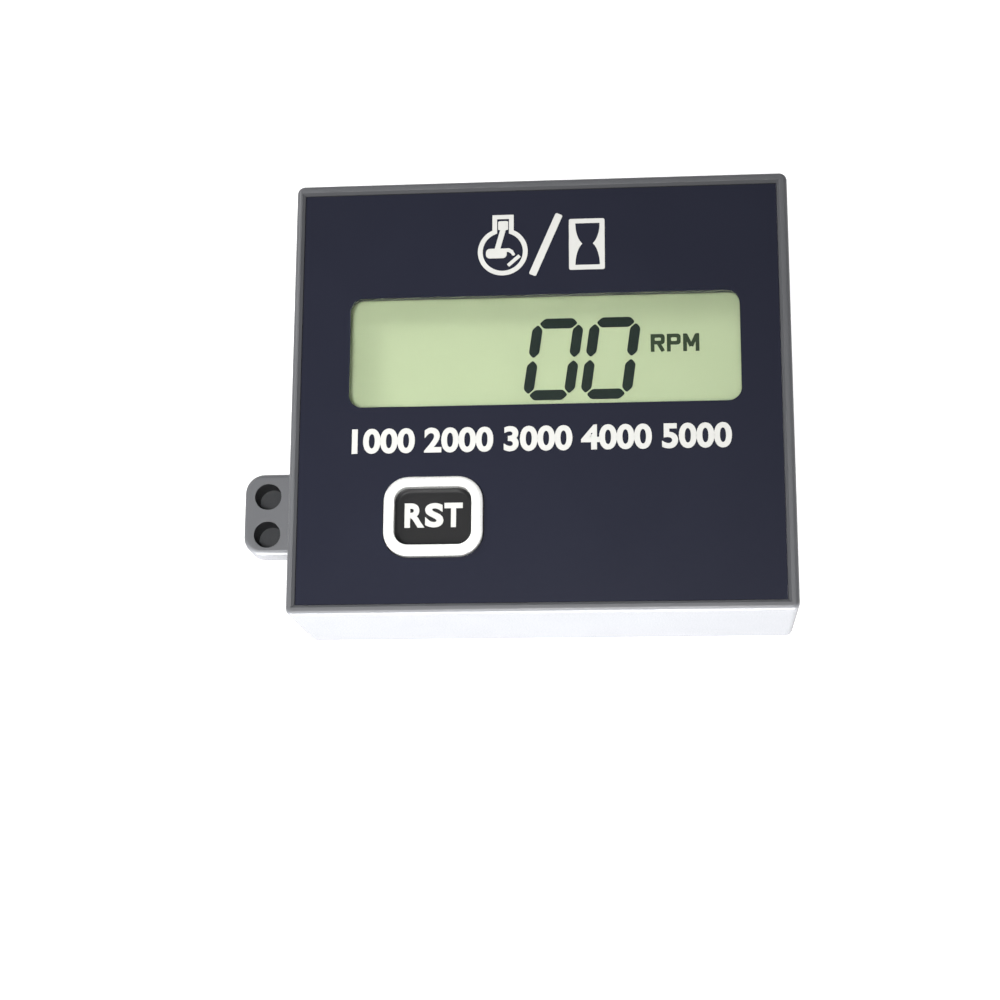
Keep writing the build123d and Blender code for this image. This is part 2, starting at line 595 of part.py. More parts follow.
def coin_cell():
    """The cell, its wide face to the rear cover and its stepped cap to the board."""
    shoulder = CELL_HEIGHT - CELL_CAP_HEIGHT
    outline = [(0, 0), (CELL_RADIUS, 0), (CELL_RADIUS, shoulder), (CELL_CAP_RADIUS, shoulder)]
    outline += [(CELL_CAP_RADIUS, CELL_HEIGHT), (0, CELL_HEIGHT)]
    return turned(outline, (*CELL_AT, CELL_BOTTOM))


def cell_holder():
    """The round tray of the cell, open on one side so that a finger can push the cell out."""
    inner = CELL_RADIUS + CELL_SIDE_GAP
    cell_top = CELL_BOTTOM + CELL_HEIGHT
    wall_bottom = cell_top - HOLDER_GRIP
    tray = disc(inner + HOLDER_WALL, wall_bottom, BOARD_BACK, CELL_AT)
    tray -= disc(inner, wall_bottom, BOARD_BACK - HOLDER_FLOOR, CELL_AT)
    mouth = (CELL_AT[0], CELL_AT[1] - inner)
    return tray - slab(HOLDER_MOUTH, 2 * HOLDER_WALL + inner, wall_bottom, cell_top, 0, mouth)


def cell_minus_contact():
    """The flat contact between the tray's floor and the cell's cap."""
    top = BOARD_BACK - HOLDER_FLOOR
    return slab(2 * CELL_CAP_RADIUS, CONTACT_WIDTH, top - CONTACT_THICKNESS, top, 0, CELL_AT)


def cell_plus_clip():
    """The strip that crosses the cell's wide face and turns up to the board outside the tray."""
    leg_x = CELL_AT[0] + CELL_RADIUS + CELL_SIDE_GAP + HOLDER_WALL + CLIP_GAP + CLIP_THICKNESS / 2
    strip_start = CELL_AT[0] - CELL_CAP_RADIUS
    strip_end = leg_x + CLIP_THICKNESS / 2
    middle = ((strip_start + strip_end) / 2, CELL_AT[1])
    bottom = CELL_BOTTOM - CLIP_THICKNESS
    strip = slab(strip_end - strip_start, CONTACT_WIDTH, bottom, CELL_BOTTOM, 0, middle)
    return strip + slab(CLIP_THICKNESS, CONTACT_WIDTH, bottom, BOARD_BACK, 0, (leg_x, CELL_AT[1]))


def rear_cover():
    """The flat cover let into the back, with a low spigot inside the walls."""
    width = BODY_WIDTH - 2 * (LIP_WALL + COVER_GAP)
    height = BODY_HEIGHT - 2 * (LIP_WALL + COVER_GAP)
    cover = slab(width, height, 0, COVER_THICKNESS)
    outer = (CAVITY_WIDTH - 2 * SPIGOT_GAP, CAVITY_HEIGHT - 2 * SPIGOT_GAP)
    inner = (outer[0] - 2 * SPIGOT_WIDTH, outer[1] - 2 * SPIGOT_WIDTH)
    top = COVER_THICKNESS + SPIGOT_HEIGHT
    spigot = slab(*outer, COVER_THICKNESS, top) - slab(*inner, COVER_THICKNESS, top)
    spigot -= at_corners(BOSS_SIZE + SPIGOT_GAP, COVER_THICKNESS, top)
    middle = (-CAVITY_WIDTH / 2, HOLES_Y)
    width_clear = 2 * (GROMMET_FLANGE_RADIUS + SPIGOT_GAP)
    spigot -= slab(4 * SPIGOT_WIDTH, width_clear, COVER_THICKNESS, top, 0, middle)
    cover += spigot
    cone = [(0, 0), (HEAD_RADIUS + HEAD_RECESS + HEAD_PLAY, 0), (SCREW_HOLE_RADIUS, HEAD_RECESS + HEAD_CONE)]
    cone += [(SCREW_HOLE_RADIUS, top), (0, top)]
    return cover - [turned(cone, (*spot, 0)) for spot in BOSS_SPOTS]


def cover_gasket():
    """The flat rubber ring between the cover and the ledge inside the walls."""
    outer = (BODY_WIDTH - 2 * (LIP_WALL + GASKET_GAP), BODY_HEIGHT - 2 * (LIP_WALL + GASKET_GAP))
    ring = slab(*outer, COVER_THICKNESS, LEDGE_HEIGHT)
    return ring - slab(CAVITY_WIDTH, CAVITY_HEIGHT, COVER_THICKNESS, LEDGE_HEIGHT)


def cover_screw(spot):
    """A countersunk screw through the rear cover, its head just below the surface."""
    shank = SCREW_RADIUS - SCREW_PLAY
    tip = HEAD_RECESS + COVER_SCREW_LENGTH
    outline = [(0, HEAD_RECESS), (HEAD_RADIUS, HEAD_RECESS), (shank, HEAD_RECESS + HEAD_CONE)]
    outline += [(shank, tip), (0, tip)]
    return turned(outline, (*spot, 0))


def board_screw(spot):
    """A pan-head screw that holds the board to a post of the housing."""
    shank = SCREW_RADIUS - SCREW_PLAY
    face = BOARD_BACK - BOARD_HEAD_HEIGHT
    tip = BOARD_BACK + BOARD_SCREW_LENGTH
    outline = [(0, face), (BOARD_HEAD_RADIUS, face), (BOARD_HEAD_RADIUS, BOARD_BACK)]
    outline += [(shank, BOARD_BACK), (shank, tip), (0, tip)]
    return turned(outline, (*spot, 0))


def lead_grommet():
    """The rubber grommet in the left wall, with the bore for the signal lead."""
    outside = -GROMMET_OUTSIDE
    inside = SIDE_WALL + GROMMET_INSIDE
    outline = [(LEAD_BORE_RADIUS, outside), (GROMMET_FLANGE_RADIUS, outside), (GROMMET_FLANGE_RADIUS, 0)]
    outline += [(GROMMET_NECK_RADIUS, 0), (GROMMET_NECK_RADIUS, SIDE_WALL)]
    outline += [(GROMMET_FLANGE_RADIUS, SIDE_WALL), (GROMMET_FLANGE_RADIUS, inside), (LEAD_BORE_RADIUS, inside)]
    return Pos(-BODY_WIDTH / 2, HOLES_Y, GROMMET_HEIGHT) * Rot(0, 90, 0) * turned(outline)


def all_parts():
    """Every piece of the meter by name."""
    parts = {
        "front_case": front_case(),
        "face_overlay": face_overlay(),
        "window_lens": window_lens(),
        "display_digits": display_digits(),
        "display_bezel": display_bezel(),
        "display_support": display_support(),
        "contact_strip_upper": contact_strip(1),
        "contact_strip_lower": contact_strip(-1),
        "reset_key": reset_key(),
        "reset_key_ring": reset_key_ring(),
        "switch_base": switch_base(),
        "switch_cover": switch_cover(),
        "switch_dome": switch_dome(),
        "switch_plunger": switch_plunger(),
        "switch_leads": switch_leads(),
        "circuit_board": circuit_board(),
        "microcontroller": microcontroller(),
        "microcontroller_leads": microcontroller_leads(),
        "clock_crystal": clock_crystal(),
        "chip_capacitors": small_parts((0, CAPACITORS_OUT), (SMALL_PART_STEP, 0), CAPACITOR_HEIGHT),
        "chip_resistors": small_parts((-RESISTORS_OUT, 0), (0, SMALL_PART_STEP), RESISTOR_HEIGHT),
        "signal_socket": signal_socket(),
        "signal_pins": signal_pins(),
        "coin_cell": coin_cell(),
        "cell_holder": cell_holder(),
        "cell_minus_contact": cell_minus_contact(),
        "cell_plus_clip": cell_plus_clip(),
        "rear_cover": rear_cover(),
        "cover_gasket": cover_gasket(),
        "lead_grommet": lead_grommet(),
    }
    parts |= display_glass()
    parts |= {f"cover_screw_{n}": cover_screw(spot) for n, spot in enumerate(BOSS_SPOTS, 1)}
    parts |= {f"board_screw_{n}": board_screw(spot) for n, spot in enumerate(POST_SPOTS, 1)}
    return parts


os.makedirs("parts", exist_ok=True)
for name, piece in all_parts().items():
    export_step(piece, f"parts/{name}.step")
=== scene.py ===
import json
import math
import bmesh
import bpy
from mathutils import Matrix, Vector


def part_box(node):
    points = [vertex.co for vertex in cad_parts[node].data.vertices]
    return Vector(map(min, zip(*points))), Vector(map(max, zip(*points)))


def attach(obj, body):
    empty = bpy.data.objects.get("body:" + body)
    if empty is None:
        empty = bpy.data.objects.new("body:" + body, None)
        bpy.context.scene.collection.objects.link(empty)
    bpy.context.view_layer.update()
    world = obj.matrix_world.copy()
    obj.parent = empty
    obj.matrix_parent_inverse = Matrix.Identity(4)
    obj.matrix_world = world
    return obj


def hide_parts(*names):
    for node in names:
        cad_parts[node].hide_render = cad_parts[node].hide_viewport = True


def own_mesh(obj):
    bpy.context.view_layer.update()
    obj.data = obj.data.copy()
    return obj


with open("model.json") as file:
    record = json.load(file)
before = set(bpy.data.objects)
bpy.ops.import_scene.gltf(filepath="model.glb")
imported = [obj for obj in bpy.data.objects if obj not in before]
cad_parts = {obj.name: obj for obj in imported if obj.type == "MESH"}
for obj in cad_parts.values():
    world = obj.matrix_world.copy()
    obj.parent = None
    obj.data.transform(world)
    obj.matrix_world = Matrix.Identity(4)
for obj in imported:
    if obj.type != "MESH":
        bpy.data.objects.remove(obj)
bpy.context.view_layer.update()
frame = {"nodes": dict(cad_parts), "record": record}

# A small engine tachometer, lying on its back.
# Everything is in metres, +Z out of the face and +Y up the display.
MM = 0.001
nodes = frame["nodes"]


# Places on the solids, and sizes that go with them

OVERLAY_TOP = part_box("face_overlay")[1].z
SEGMENTS_LOW, SEGMENTS_HIGH = [corner.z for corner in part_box("display_digits")]
# The housing's box takes in the ear, so its left wall is found from its right one
WALL_LEFT = -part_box("front_case")[1].x
EAR_UNDERSIDE = 8.1 * MM
EAR_TOP = 11.5 * MM
EAR_HOLES = [mount for mount in frame["record"]["mounts"] if mount["name"].startswith("ear_hole")]

INK_THICKNESS = 0.02 * MM
FLOOR_GAP = 0.02 * MM
KEY_DISH = 0.25 * MM


# Materials

# A colour mix's sockets share their names with other kinds of mix, so they go by number
MIX_SHARE = 0
MIX_FIRST = 6
MIX_SECOND = 7
MIX_COLOUR = 2

# Nearly all of a noise pattern lies between these two values
NOISE_LOW = 0.3
NOISE_HIGH = 0.7


def linear(code):
    """A colour from its sRGB hex code."""
    channels = [int(code[i : i + 2], 16) / 255 for i in (1, 3, 5)]
    return [c / 12.92 if c <= 0.04045 else ((c + 0.055) / 1.055) ** 2.4 for c in channels] + [1.0]


def add(material, kind, settings=None, links=None):
    """One shader node with its settings, socket values and links."""
    node = material.node_tree.nodes.new("ShaderNode" + kind)
    for key, value in (settings or {}).items():
        if isinstance(key, int) or key in node.inputs:
            node.inputs[key].default_value = value
        else:
            setattr(node, key, value)
    for socket, source in (links or {}).items():
        material.node_tree.links.new(source, node.inputs[socket])
    return node


def finish_of(name, settings, colours=None, mottle=0.0, grain=0.0, depth=0.0, rough=None, stretch=None):
    """A surface: its shader's own settings, two colours mixed in patches, and a fine grain.

    mottle and grain are feature sizes in metres, and depth is the grain's height.
    The grain also breaks the gloss, within the range of roughness that rough gives."""
    material = bpy.data.materials.new(name)
    material.use_nodes = True
    tree = material.node_tree
    tree.nodes.clear()
    shader = add(material, "BsdfPrincipled", settings)
    add(material, "OutputMaterial", links={"Surface": shader.outputs["BSDF"]})
    place = add(material, "TexCoord").outputs["Object"]
    if stretch:
        place = add(material, "Mapping", {"Scale": stretch}, {"Vector": place}).outputs["Vector"]
    if colours:
        patches = add(material, "TexNoise", {"Scale": 1 / mottle, "Detail": 3.0}, {"Vector": place})
        pair = {"data_type": "RGBA", MIX_FIRST: linear(colours[0]), MIX_SECOND: linear(colours[1])}
        mix = add(material, "Mix", pair, {MIX_SHARE: patches.outputs["Fac"]})
        tree.links.new(mix.outputs[MIX_COLOUR], shader.inputs["Base Color"])
    if grain:
        bumps = add(material, "TexNoise", {"Scale": 1 / grain, "Detail": 2.0}, {"Vector": place})
        raised = add(material, "Bump", {"Distance": depth, "Strength": 1.0}, {"Height": bumps.outputs["Fac"]})
        tree.links.new(raised.outputs["Normal"], shader.inputs["Normal"])
        if rough:
            span = {"From Min": NOISE_LOW, "From Max": NOISE_HIGH, "To Min": rough[0], "To Max": rough[1]}
            gloss = add(material, "MapRange", span, {"Value": bumps.outputs["Fac"]})
            tree.links.new(gloss.outputs["Result"], shader.inputs["Roughness"])
    return material


# Moulded ABS with a spark-eroded skin: a soft grey sheen, no mirror.
# The grain is drawn twice as coarse as it is, so that it shows
moulded_abs = finish_of(
    "moulded_abs_spark_grain",
    {"IOR": 1.53},
    ("#545558", "#5B5C5F"),
    mottle=6 * MM,
    grain=0.16 * MM,
    depth=0.006 * MM,
    rough=(0.38, 0.5),
)
# The same plastic in the ear's holes, rougher and with painted shade: a darker colour stands in for the shade
# inside the holes
hole_shade_abs = finish_of(
    "moulded_abs_painted_hole_shade",
    {"IOR": 1.53, "Specular IOR Level": 0.25},
    ("#303133", "#38393B"),
    mottle=0.9 * MM,
    grain=0.12 * MM,
    depth=0.006 * MM,
    rough=(0.6, 0.75),
)
# Polyester film, printed navy black all over: a smooth satin skin
printed_film = finish_of(
    "printed_polyester_film_satin",
    {"IOR": 1.5},
    ("#1D1F2D", "#212331"),
    mottle=9 * MM,
    grain=0.12 * MM,
    depth=0.0003 * MM,
    rough=(0.18, 0.22),
)
# Screen-printed ink: a flat white with a faint tooth
white_ink = finish_of(
    "screen_ink_white",
    {"IOR": 1.45, "Specular IOR Level": 0.3},
    ("#D0D0CB", "#D6D6D2"),
    mottle=1.5 * MM,
    grain=0.08 * MM,
    depth=0.002 * MM,
    rough=(0.5, 0.62),
)
# Moulded black ABS of the key's centre: satin, a little darker than the housing
key_black = finish_of(
    "moulded_key_black_satin",
    {"IOR": 1.5, "Specular IOR Level": 0.2},
    ("#161617", "#1A1A1B"),
    mottle=4 * MM,
    grain=0.14 * MM,
    depth=0.004 * MM,
    rough=(0.4, 0.52),
)
# White gloss ABS of the key's ring: the brightest thing on the face
ring_white = finish_of(
    "moulded_ring_white_gloss",
    {"IOR": 1.53},
    ("#EDEDEA", "#F3F3F1"),
    mottle=3 * MM,
    grain=0.2 * MM,
    depth=0.002 * MM,
    rough=(0.24, 0.34),
)
# Cast acrylic of the lens: clear, a veil at most
clear_acrylic = finish_of(
    "cast_acrylic_clear",
    {"Base Color": linear("#4A504D"), "IOR": 1.49, "Roughness": 0.03, "Alpha": 0.015},
)
# Drawn glass of the display: clear with a hint of green
display_glass = finish_of(
    "drawn_glass_clear",
    {"Base Color": linear("#3F4A43"), "IOR": 1.52, "Roughness": 0.02, "Alpha": 0.01},
)
# Stretched polariser film: takes a little light and greens it
polariser_film = finish_of(
    "stretched_polariser_satin",
    {"Base Color": linear("#2A3022"), "IOR": 1.5, "Roughness": 0.2, "Alpha": 0.04},
)
# The liquid crystal over its silvered film: the display's pale green ground
crystal_ground = finish_of(
    "liquid_crystal_ground_pale_green",
    {"IOR": 1.5, "Specular IOR Level": 0.2},
    ("#BDCCA3", "#C3D2A9"),
    mottle=7 * MM,
    grain=0.06 * MM,
    depth=0.0005 * MM,
    rough=(0.5, 0.62),
)
# Silvered plastic film behind the glass: a matt metal look
silvered_film = finish_of(
    "silvered_film_matt",
    {"Metallic": 1.0},
    ("#B9C2AC", "#C4CCB8"),
    mottle=2 * MM,
    grain=0.05 * MM,
    depth=0.001 * MM,
    rough=(0.4, 0.5),
)
# Segments that are switched on: a dark green black
crystal_dark = finish_of(
    "liquid_crystal_segment_dark",
    {"IOR": 1.5, "Specular IOR Level": 0.2},
    ("#16231F", "#1B2824"),
    mottle=1.5 * MM,
    grain=0.06 * MM,
    depth=0.0005 * MM,
    rough=(0.45, 0.55),
)
# The unit's letters are etched thinner than the digits: a grey green
crystal_grey = finish_of(
    "liquid_crystal_unit_grey_green",
    {"IOR": 1.5, "Specular IOR Level": 0.2},
    ("#2F3D2A", "#364530"),
    mottle=1.5 * MM,
    grain=0.06 * MM,
    depth=0.0005 * MM,
    rough=(0.45, 0.55),
)
# Moulded white polycarbonate behind the display: milky, half gloss
white_polycarbonate = finish_of(
    "moulded_polycarbonate_white",
    {"IOR": 1.58},
    ("#DEDDD6", "#E6E5DF"),
    mottle=4 * MM,
    grain=0.2 * MM,
    depth=0.004 * MM,
    rough=(0.35, 0.5),
)
# Silicone strip made of thin conducting and insulating layers: pink and dark stripes across it
strip_rubber = finish_of(
    "layered_silicone_striped",
    {"IOR": 1.41},
    ("#C77F86", "#5A4A4C"),
    mottle=0.12 * MM,
    grain=0.1 * MM,
    depth=0.006 * MM,
    rough=(0.55, 0.7),
    stretch=(1.0, 0.02, 0.02),
)
# Moulded nylon of switch, chip and sockets: black, dull
black_nylon = finish_of(
    "moulded_nylon_black",
    {"IOR": 1.53},
    ("#1E1E1F", "#262627"),
    mottle=2 * MM,
    grain=0.15 * MM,
    depth=0.005 * MM,
    rough=(0.42, 0.56),
)
# Tinned steel of leads and pins: bright, slightly clouded
tinned_steel = finish_of(
    "tinned_steel_bright",
    {"Metallic": 1.0},
    ("#C4C4BE", "#D2D2CD"),
    mottle=1.2 * MM,
    grain=0.1 * MM,
    depth=0.002 * MM,
    rough=(0.22, 0.36),
)
# Solder mask rolled on glass laminate: glossy green with the weave just showing
solder_mask = finish_of(
    "solder_mask_green_on_laminate",
    {"IOR": 1.55},
    ("#0C5230", "#11603A"),
    mottle=3 * MM,
    grain=0.5 * MM,
    depth=0.01 * MM,
    rough=(0.24, 0.34),
)
# Fired ceramic of the chip parts: tan, fine and dry
fired_ceramic = finish_of(
    "fired_ceramic_tan",
    {"IOR": 1.6},
    ("#9A7B55", "#A98A63"),
    mottle=0.5 * MM,
    grain=0.1 * MM,
    depth=0.004 * MM,
    rough=(0.4, 0.55),
)
# Nickelled brass of the cell's contacts: pale yellow metal
nickel_brass = finish_of(
    "nickelled_brass_satin",
    {"Metallic": 1.0},
    ("#D6C58E", "#DFD09B"),
    mottle=1.5 * MM,
    grain=0.08 * MM,
    depth=0.002 * MM,
    rough=(0.25, 0.38),
)
# Drawn and nickelled steel of the coin cell: even, satin
cell_steel = finish_of(
    "drawn_nickelled_steel",
    {"Metallic": 1.0},
    ("#C8C8C6", "#D4D4D2"),
    mottle=2 * MM,
    grain=0.08 * MM,
    depth=0.002 * MM,
    rough=(0.24, 0.36),
)
# Zinc-plated steel of the screws: dark grey with a cloudy passivation
zinc_steel = finish_of(
    "zinc_plated_steel_dark",
    {"Metallic": 1.0},
    ("#6C6D70", "#7B7C80"),
    mottle=0.8 * MM,
    grain=0.06 * MM,
    depth=0.002 * MM,
    rough=(0.3, 0.44),
)
# Moulded rubber of grommet and gasket: black, dead matt
seal_rubber = finish_of(
    "moulded_rubber_black_matt",
    {"IOR": 1.52},
    ("#1B1B1B", "#222222"),
    mottle=2 * MM,
    grain=0.12 * MM,
    depth=0.006 * MM,
    rough=(0.6, 0.75),
)

FINISHES = {
    "housing_plastic": moulded_abs,
    "overlay_film": printed_film,
    "lens_acrylic": clear_acrylic,
    "display_glass": display_glass,
    "display_film": polariser_film,
    "display_reflector": silvered_film,
    "display_segments": crystal_dark,
    "white_moulding": white_polycarbonate,
    "strip_rubber": strip_rubber,
    "key_plastic": key_black,
    "ring_plastic": ring_white,
    "switch_plastic": black_nylon,
    "tinned_steel": tinned_steel,
    "board_laminate": solder_mask,
    "chip_ceramic": fired_ceramic,
    "contact_metal": nickel_brass,
    "cell_steel": cell_steel,
    "screw_steel": zinc_steel,
    "seal_rubber": seal_rubber,
}


def paint(piece, material):
    """The piece wears one material all over."""
    piece.data.materials.clear()
    piece.data.materials.append(material)


SLOT_OF = {part["node"]: part["material_slot"] for part in frame["record"]["subparts"]}
for name, piece in nodes.items():
    paint(piece, FINISHES[SLOT_OF[name]])
paint(nodes["display_rear_glass"], crystal_ground)


# Pieces

# Corners that turn more than this stay crisp on a smooth mesh
CRISP = math.radians(35)
# In a solid's mesh, vertices this near are one, and faces that turn less than this are one
SAME_PLACE = 0.001 * MM
SAME_PLANE = math.radians(0.4)
# In a shape that is drawn in mm, vertices this near are one
WELD = 0.0005


def piece_from(bm, name, material, body, stands_for=()):
    """The finished mesh as a piece that rides on a body, smooth but for its sharp edges."""
    mesh = bpy.data.meshes.new(name)
    bm.to_mesh(mesh)
    bm.free()
    mesh.shade_smooth()
    mesh.set_sharp_from_angle(angle=CRISP)
    piece = bpy.data.objects.new(name, mesh)
    bpy.context.scene.collection.objects.link(piece)
    paint(piece, material)
    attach(piece, body)
    if stands_for:
        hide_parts(*stands_for)
    return piece


def merged_copy(node):
    """A copy of a solid's mesh, merged, with its flat faces whole."""
    bm = bmesh.new()
    bm.from_mesh(nodes[node].data)
    bmesh.ops.remove_doubles(bm, verts=bm.verts, dist=SAME_PLACE)
    bmesh.ops.dissolve_limit(bm, angle_limit=SAME_PLANE, verts=bm.verts, edges=bm.edges)
    return bm


def ease(bm, geometry, width, segments=2, affect="EDGES"):
    """Rounds edges or corners by a width."""
    bmesh.ops.bevel(
        bm,
        geom=geometry,
        offset=width,
        offset_type="OFFSET",
        affect=affect,
        segments=segments,
        profile=0.5,
        material=-1,
        clamp_overlap=True,
    )


def sharp_edges(bm, least=40, most=180, within=None):
    """The edges that turn by more than one angle and less than another."""
    found = [e for e in bm.edges if e.is_manifold and least < math.degrees(e.calc_face_angle()) < most]
    if within:
        found = [e for e in found if all(within(v.co) for v in e.verts)]
    return found


def even(piece):
    """Flat faces shade flat beside their rounded edges."""
    weights = piece.modifiers.new("even_shading", "WEIGHTED_NORMAL")
    weights.keep_sharp = True
    return piece


def rounded_solid(node, name, width, body="housing", segments=2):
    """The solid's own shape with its sharp edges rounded, in the solid's own finish."""
    bm = merged_copy(node)
    ease(bm, sharp_edges(bm), width, segments)
    slot = SLOT_OF[node]
    return even(piece_from(bm, name, FINISHES[slot], body, (node,)))


# How far off a point may be and still count as on the ear
SLACK = 0.02 * MM
# The faces that round a hole's mouth have their middles above this depth
HOLE_MOUTH = 0.06 * MM


def on_ear(point):
    """Whether a point of the housing belongs to the ear."""
    outside_wall = point.x < WALL_LEFT + SLACK
    return outside_wall and EAR_UNDERSIDE - SLACK < point.z < EAR_TOP + SLACK


def in_ear_hole(point):
    """Whether a point lies on the wall or the floor of one of the ear's holes, below its mouth."""
    past_wall = [(point - Vector(hole["pos_m"])).xy.length - hole["dims"]["r_mm"] * MM for hole in EAR_HOLES]
    return min(past_wall) < SLACK and EAR_UNDERSIDE + SLACK < point.z < EAR_TOP - HOLE_MOUTH


# The housing: the ear's blunt edges are rounded more than all the others
shell = merged_copy("front_case")
ease(shell, sharp_edges(shell, least=30, most=60, within=on_ear), 0.16 * MM, 3)
ease(shell, sharp_edges(shell), 0.08 * MM)
housing = even(piece_from(shell, "housing_shell", moulded_abs, "housing", ("front_case",)))
housing.data.materials.append(hole_shade_abs)
# Faces in the ear's holes take the darker plastic, as painted shade
for face in housing.data.polygons:
    face.material_index = int(in_ear_hole(face.center))

rounded_solid("rear_cover", "back_cover", 0.1 * MM)
rounded_solid("reset_key_ring", "key_ring", 0.12 * MM, "reset_key", 3)
rounded_solid("reset_key", "key_body", 0.06 * MM, "reset_key")
rounded_solid("lead_grommet", "inlet_grommet", 0.2 * MM, segments=3)

# The switch's snap dome, in a mesh of its own; on the real switch it flattens under the plunger as the key
# goes in
dome_slot = SLOT_OF["switch_dome"]
snap_dome = merged_copy("switch_dome")
snap_dome = piece_from(snap_dome, "snap_dome", FINISHES[dome_slot], "housing", ("switch_dome",))
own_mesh(snap_dome)

# The segments lie between the glasses and touch neither, so that no two faces share a plane
digits = merged_copy("display_digits")
ends = [(edge, edge.verts[0].co.z, edge.verts[1].co.z) for edge in digits.edges]
upright = [edge for edge, start, end in ends if abs(start - end) > (SEGMENTS_HIGH - SEGMENTS_LOW) / 2]
ease(digits, upright, 0.2 * MM, 3)
middle_height = (SEGMENTS_LOW + SEGMENTS_HIGH) / 2
about_middle = Matrix.Translation((0, 0, -middle_height))
bmesh.ops.scale(digits, vec=(1, 1, 0.7), space=about_middle, verts=digits.verts)
piece_from(digits, "lit_segments", crystal_dark, "housing", ("display_digits",))


# Screws, drawn in mm with the head below and the point above

CORE = 0.62
CREST = 0.82
PITCH = 0.75
POINT = 0.9
TIP = 0.15
THREAD_START = 0.7
THREAD_END = 1.0
# The ridge of a thread starts inside the core, and each flank takes this share of the pitch
RIDGE_SUNK = 0.06
FLANK = 0.3
# A wing of the cross recess, and how much narrower it is at its bottom
WING_LENGTH = 1.9
WING_WIDTH = 0.34
WING_DEPTH = 0.75
WING_TAPER = (0.45, 0.7, 1)


def chain(points):
    """A line of edges in the XZ plane, from (radius, height) points in mm."""
    bm = bmesh.new()
    verts = [bm.verts.new((radius, 0, height)) for radius, height in points]
    for start, end in zip(verts, verts[1:]):
        bm.edges.new((start, end))
    return bm


def turned(points, steps=40):
    """A round body about Z, from (radius, height) points in mm."""
    bm = chain(points)
    bmesh.ops.spin(
        bm,
        geom=bm.verts[:] + bm.edges[:],
        cent=(0, 0, 0),
        axis=(0, 0, 1),
        angle=2 * math.pi,
        steps=steps,
        use_merge=True,
    )
    bmesh.ops.remove_doubles(bm, verts=bm.verts, dist=WELD)
    bmesh.ops.recalc_face_normals(bm, faces=bm.faces)
    return bm


def object_of(bm, name):
    """A mesh as an object of its own."""
    mesh = bpy.data.meshes.new(name)
    bm.to_mesh(mesh)
    bm.free()
    made = bpy.data.objects.new(name, mesh)
    bpy.context.scene.collection.objects.link(made)
    return made


def combined(first, steps):
    """One closed mesh, from a first shape and the shapes that are joined to it or cut out of it."""
    base = object_of(first, "shape_base")
    tools = []
    for how, shape in steps:
        tool = object_of(shape, "shape_tool")
        step = base.modifiers.new("shape_step", "BOOLEAN")
        step.operation = how
        step.solver = "EXACT"
        step.object = tool
        tools.append(tool)
    shown = base.evaluated_get(bpy.context.evaluated_depsgraph_get())
    bm = bmesh.new()
    bm.from_mesh(shown.to_mesh())
    for extra in [base] + tools:
        bpy.data.objects.remove(extra)
    bmesh.ops.remove_doubles(bm, verts=bm.verts, dist=WELD)
    return bm


def recess_wing(turn):
    """One wing of a cross recess, narrower at its bottom."""
    bm = bmesh.new()
    bmesh.ops.create_cube(bm, size=1)
    bmesh.ops.scale(bm, vec=(WING_LENGTH, WING_WIDTH, 2 * WING_DEPTH), verts=bm.verts)
    bmesh.ops.scale(bm, vec=WING_TAPER, verts=[v for v in bm.verts if v.co.z > 0])
    bmesh.ops.rotate(bm, cent=(0, 0, 0), matrix=Matrix.Rotation(turn, 3, "Z"), verts=bm.verts)
    return bm


def thread(start, end, steps=24):
    """The ridge of a thread: a three-sided bar wound around the core."""
    bm = bmesh.new()
    root = CORE - RIDGE_SUNK
    corners = [(root, -FLANK * PITCH), (CREST, 0), (root, FLANK * PITCH)]
    face = bm.faces.new([bm.verts.new((radius, 0, start + rise)) for radius, rise in corners])
    turns = (end - start) / PITCH
    bmesh.ops.spin(
        bm,
        geom=[face] + list(face.edges) + list(face.verts),
        cent=(0, 0, 0),
        axis=(0, 0, 1),
        dvec=(0, 0, PITCH / steps),
        angle=2 * math.pi * turns,
        steps=round(steps * turns),
    )
    bmesh.ops.recalc_face_normals(bm, faces=bm.faces)
    return bm


def screw(node, head, turn):
    """A thread-forming screw in place of a solid: head, cross recess, core, point and thread.

    The head is given as (radius, height) points, and turn is how far the screw was driven round."""
    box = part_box(node)
    length = (box[1].z - box[0].z) / MM
    neck = head[-1][1]
    outline = head + [(CORE, neck + 0.2), (CORE, length - POINT), (TIP, length), (0, length)]
    wings = [("DIFFERENCE", recess_wing(angle)) for angle in (0.0, math.pi / 2)]
    body = combined(turned(outline), wings)
    ridge = thread(neck + THREAD_START, length - THREAD_END)
    scrap = bpy.data.meshes.new("thread_ridge")
    ridge.to_mesh(scrap)
    ridge.free()
    body.from_mesh(scrap)
    bpy.data.meshes.remove(scrap)
    middle = (box[0] + box[1]) / 2
    foot = Matrix.Translation((middle.x, middle.y, box[0].z))
    place = foot @ Matrix.Rotation(turn, 4, "Z") @ Matrix.Scale(MM, 4)
    bmesh.ops.transform(body, matrix=place, verts=body.verts)
    piece_from(body, node + "_cross_recess", zinc_steel, "housing", (node,))


NECK = CORE + 0.1
COUNTERSUNK = [(0, 0), (1.88, 0), (1.97, 0.05), (NECK, 0.9)]
PAN = [(0, 0), (1.0, 0.02), (1.42, 0.18), (1.66, 0.48), (1.7, 0.8), (1.7, 1.04), (1.64, 1.1), (NECK, 1.1)]
# No two screws come to rest at the same turn
for n in range(1, 5):
    screw(f"cover_screw_{n}", COUNTERSUNK, 0.4 * n * n)
for n in range(1, 3):
    screw(f"board_screw_{n}", PAN, 0.7 * n)


# Print, drawn in mm and one unit thick, then laid on its surface

def lift(bm):
    """Gives a flat shape its thickness, closed below."""
    raised = bmesh.ops.extrude_face_region(bm, geom=bm.faces[:])
    top = [v for v in raised["geom"] if isinstance(v, bmesh.types.BMVert)]
    bmesh.ops.translate(bm, verts=top, vec=(0, 0, 1))
    bmesh.ops.recalc_face_normals(bm, faces=bm.faces)
    return bm


